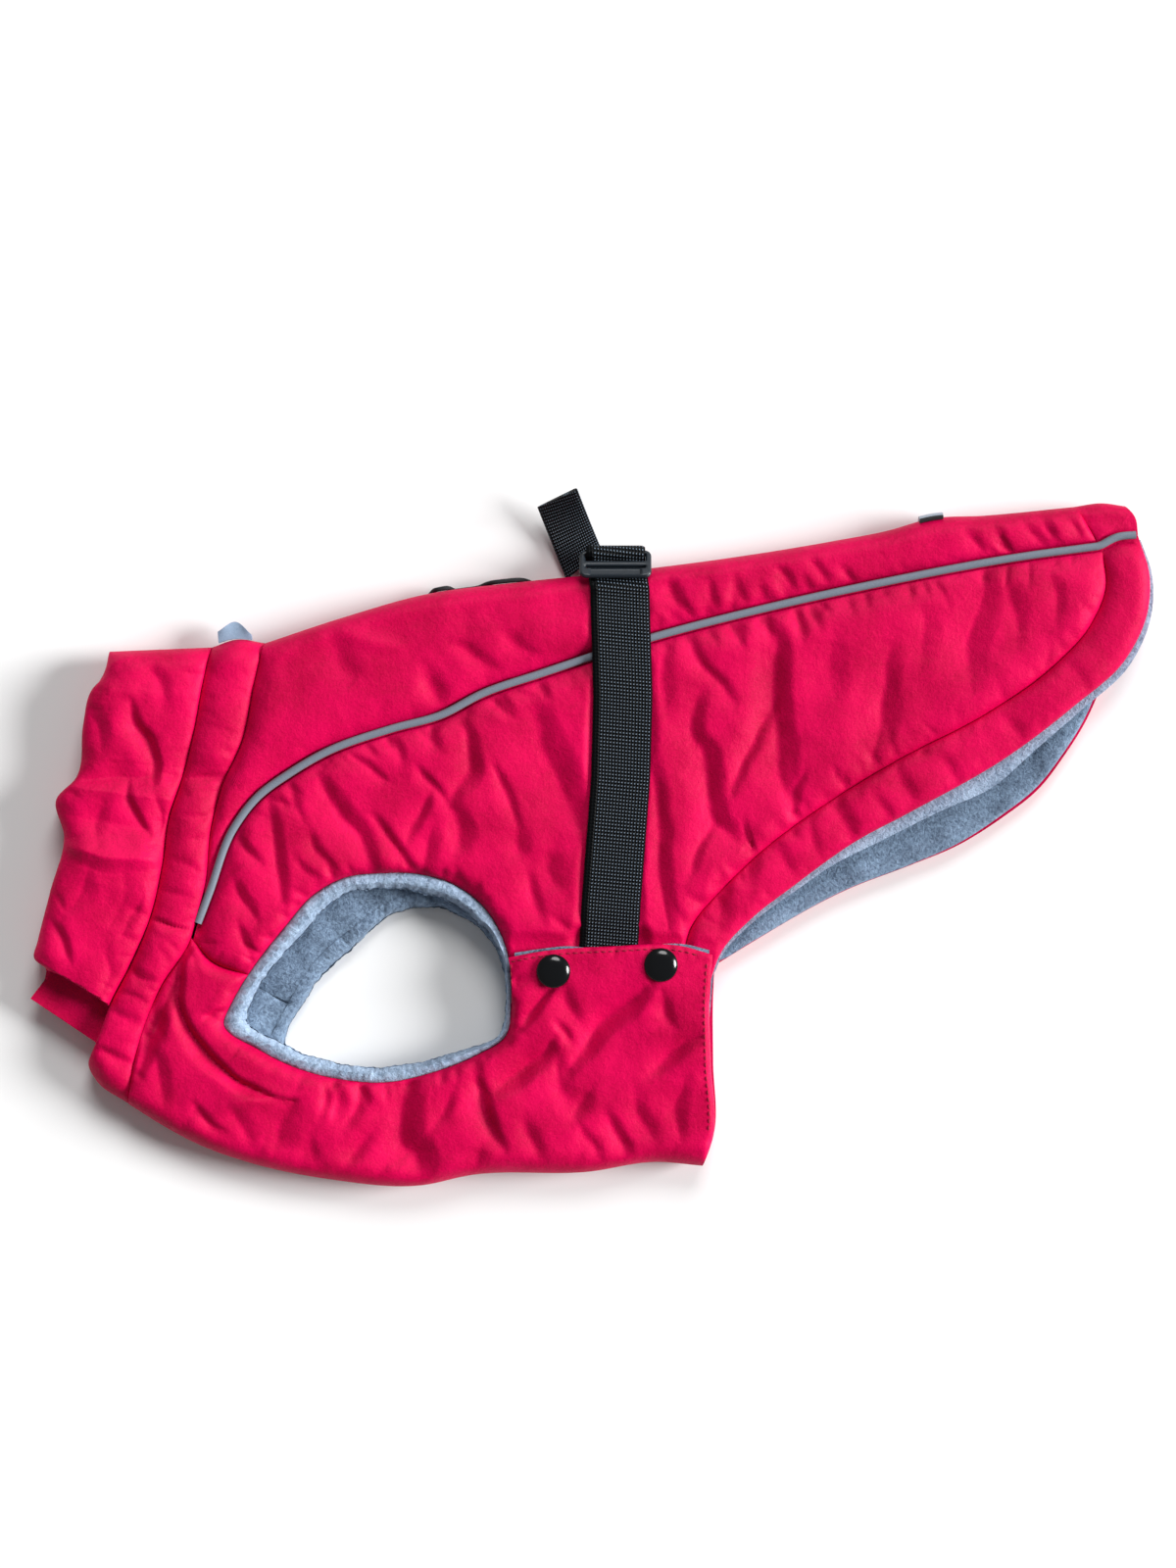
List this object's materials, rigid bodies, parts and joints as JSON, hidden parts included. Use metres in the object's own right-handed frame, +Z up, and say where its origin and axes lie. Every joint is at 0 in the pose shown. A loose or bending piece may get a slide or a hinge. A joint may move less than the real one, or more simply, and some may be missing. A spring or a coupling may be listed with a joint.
{
  "type": "dog winter coat",
  "caption": "Padded dog winter coat with a fleece lining, a funnel collar, leg holes, a webbing strap with a slide and a snap-closed belly flap, lying flat on its side",
  "frame": {"origin": "on the surface that the coat lies on, under the middle of the coat's outline", "axes": "+X runs toward the tail end, +Y toward the spine, +Z up; the dog's left side is on top"},
  "size_m": [0.4765, 0.2967, 0.027],
  "materials": {
    "shell": "soft sheen",
    "fleece": "brushed pile",
    "reflective": "satin",
    "webbing": "woven",
    "black_plastic": "gloss"
  },
  "bodies": {
    "root": {"back_panel": "shell", "side_left": "shell", "side_right": "shell", "chest_panel": "shell", "hem_band_left": "shell", "hem_band_right": "shell", "hem_band_back": "shell", "neck_band": "shell", "collar": "shell", "lining_left": "fleece", "lining_right": "fleece", "chest_lining_left": "fleece", "chest_lining_right": "fleece", "flap_lining": "fleece", "leg_binding_left": "fleece", "leg_binding_right": "fleece", "piping_left": "reflective", "piping_right": "reflective", "reflective_tab": "reflective", "tail_loop": "reflective", "strap": "webbing", "strap_tail": "webbing", "leash_trim": "webbing", "slide_buckle": "black_plastic", "snap_cap_front": "black_plastic", "snap_cap_rear": "black_plastic"}
  },
  "joints": []
}
